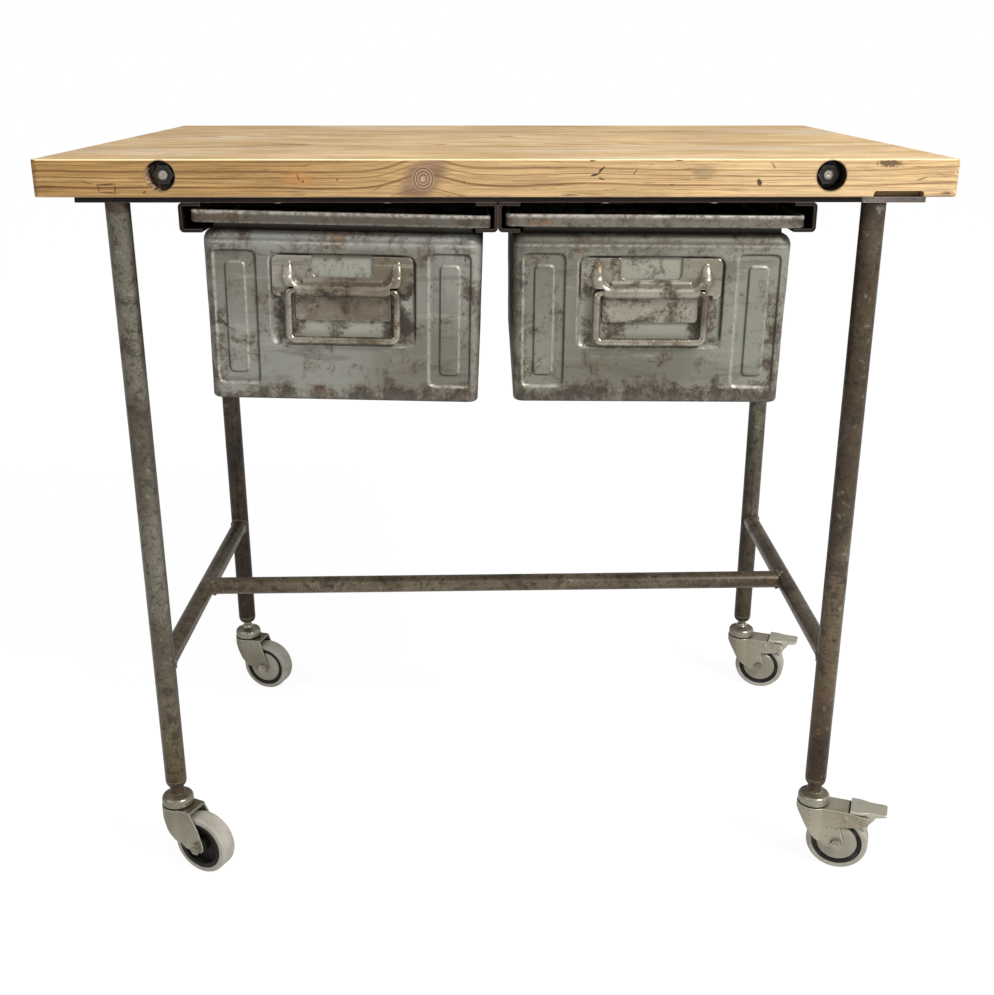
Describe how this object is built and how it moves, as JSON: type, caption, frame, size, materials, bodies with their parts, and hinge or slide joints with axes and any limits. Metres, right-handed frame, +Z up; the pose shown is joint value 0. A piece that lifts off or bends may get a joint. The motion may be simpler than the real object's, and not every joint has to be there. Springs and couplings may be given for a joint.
{
  "type": "industrial work table",
  "caption": "Rolling work table: clamped timber top on a welded steel tube frame with steel stacking boxes as drawers in channel runners.",
  "frame": {"origin": "on the floor below the middle of the table top", "axes": "+X to the right along the table, +Y to the back, +Z up; the boxes open towards -Y"},
  "size_m": [1.0061, 0.7252, 0.9],
  "materials": {
    "pine": "oiled reclaimed softwood",
    "tube_steel": "worn bare steel tube with rust pits under clear lacquer",
    "dark_steel": "dark mill scale",
    "box_steel": "worn grey sheet steel with rust stains",
    "zinc": "dull zinc plating",
    "tread_rubber": "pale grey rubber",
    "hub_plastic": "black plastic"
  },
  "bodies": {
    "table": {"top_board_1": "pine", "top_board_2": "pine", "top_board_3": "pine", "top_board_4": "pine", "top_board_5": "pine", "tie_rods": "zinc", "tie_rod_nuts": "zinc", "tie_rod_washers": "dark_steel", "wood_screws": "zinc", "front_bar": "dark_steel", "rear_bar": "dark_steel", "side_bar_left": "dark_steel", "side_bar_right": "dark_steel", "corner_plate": "tube_steel", "leg_front_left": "tube_steel", "leg_front_right": "tube_steel", "leg_rear_left": "tube_steel", "leg_rear_right": "tube_steel", "leg_plugs": "dark_steel", "side_stretcher_left": "tube_steel", "side_stretcher_right": "tube_steel", "cross_stretcher": "tube_steel", "runner_left_outer": "dark_steel", "runner_left_inner": "dark_steel", "runner_right_inner": "dark_steel", "runner_right_outer": "dark_steel", "drawer_stops": "dark_steel", "caster_heads": "zinc"},
    "left_box": {"left_box_shell": "box_steel", "left_box_straps": "box_steel"},
    "left_front_bail": {"left_front_bail": "box_steel"},
    "left_rear_bail": {"left_rear_bail": "box_steel"},
    "right_box": {"right_box_shell": "box_steel", "right_box_straps": "box_steel"},
    "right_front_bail": {"right_front_bail": "box_steel"},
    "right_rear_bail": {"right_rear_bail": "box_steel"},
    "front_left_swivel": {"fork_front_left": "zinc", "axle_front_left": "zinc"},
    "front_left_wheel": {"hub_front_left": "hub_plastic", "tread_front_left": "tread_rubber"},
    "front_right_swivel": {"fork_front_right": "zinc", "axle_front_right": "zinc", "guards_front_right": "zinc"},
    "front_right_wheel": {"hub_front_right": "hub_plastic", "tread_front_right": "tread_rubber"},
    "front_right_pedal": {"pedal_front_right": "zinc"},
    "rear_left_swivel": {"fork_rear_left": "zinc", "axle_rear_left": "zinc", "guards_rear_left": "zinc"},
    "rear_left_wheel": {"hub_rear_left": "hub_plastic", "tread_rear_left": "tread_rubber"},
    "rear_right_swivel": {"fork_rear_right": "zinc", "axle_rear_right": "zinc", "guards_rear_right": "zinc"},
    "rear_right_wheel": {"hub_rear_right": "hub_plastic", "tread_rear_right": "tread_rubber"},
    "rear_right_pedal": {"pedal_rear_right": "zinc"}
  },
  "joints": [
    {"name": "left_box_slide", "type": "slide", "parent": "table", "child": "left_box", "axis": [0, -1, 0], "range_m": [0, 0.35]},
    {"name": "left_front_bail_hinge", "type": "hinge", "parent": "left_box", "child": "left_front_bail", "pos_m": [-0.1716, -0.33978, 0.75735], "axis": [-0.9997, 0, 0.0227], "range_deg": [0, 90]},
    {"name": "left_rear_bail_hinge", "type": "hinge", "parent": "left_box", "child": "left_rear_bail", "pos_m": [-0.1716, 0.14778, 0.75735], "axis": [0.9997, 0, -0.0227], "range_deg": [0, 90]},
    {"name": "right_box_slide", "type": "slide", "parent": "table", "child": "right_box", "axis": [0, -1, 0], "range_m": [0, 0.35]},
    {"name": "right_front_bail_hinge", "type": "hinge", "parent": "right_box", "child": "right_front_bail", "pos_m": [0.1735, -0.33978, 0.75476], "axis": [-1, 0, 0.007], "range_deg": [0, 90]},
    {"name": "right_rear_bail_hinge", "type": "hinge", "parent": "right_box", "child": "right_rear_bail", "pos_m": [0.1735, 0.14778, 0.75476], "axis": [1, 0, -0.007], "range_deg": [0, 90]},
    {"name": "front_left_swivel_turn", "type": "hinge", "parent": "table", "child": "front_left_swivel", "pos_m": [-0.415, -0.33095, 0.087], "axis": [0, 0, 1], "continuous": true},
    {"name": "front_left_wheel_spin", "type": "hinge", "parent": "front_left_swivel", "child": "front_left_wheel", "pos_m": [-0.37995, -0.34805, 0.039], "axis": [0.4384, 0.8988, 0], "continuous": true},
    {"name": "front_right_swivel_turn", "type": "hinge", "parent": "table", "child": "front_right_swivel", "pos_m": [0.415, -0.33095, 0.087], "axis": [0, 0, 1], "continuous": true},
    {"name": "front_right_wheel_spin", "type": "hinge", "parent": "front_right_swivel", "child": "front_right_wheel", "pos_m": [0.44752, -0.34247, 0.039], "axis": [0.3338, 0.9426, 0], "continuous": true},
    {"name": "front_right_pedal_press", "type": "hinge", "parent": "front_right_swivel", "child": "front_right_pedal", "pos_m": [0.47816, -0.35331, 0.076], "axis": [0.3338, 0.9426, 0], "range_deg": [0, 12]},
    {"name": "rear_left_swivel_turn", "type": "hinge", "parent": "table", "child": "rear_left_swivel", "pos_m": [-0.415, 0.16205, 0.087], "axis": [0, 0, 1], "continuous": true},
    {"name": "rear_left_wheel_spin", "type": "hinge", "parent": "rear_left_swivel", "child": "rear_left_wheel", "pos_m": [-0.38248, 0.15053, 0.039], "axis": [0.3338, 0.9426, 0], "continuous": true},
    {"name": "rear_right_swivel_turn", "type": "hinge", "parent": "table", "child": "rear_right_swivel", "pos_m": [0.415, 0.16205, 0.087], "axis": [0, 0, 1], "continuous": true},
    {"name": "rear_right_wheel_spin", "type": "hinge", "parent": "rear_right_swivel", "child": "rear_right_wheel", "pos_m": [0.44752, 0.15053, 0.039], "axis": [0.3338, 0.9426, 0], "continuous": true},
    {"name": "rear_right_pedal_press", "type": "hinge", "parent": "rear_right_swivel", "child": "rear_right_pedal", "pos_m": [0.47816, 0.13969, 0.076], "axis": [0.3338, 0.9426, 0], "range_deg": [0, 12]}
  ]
}
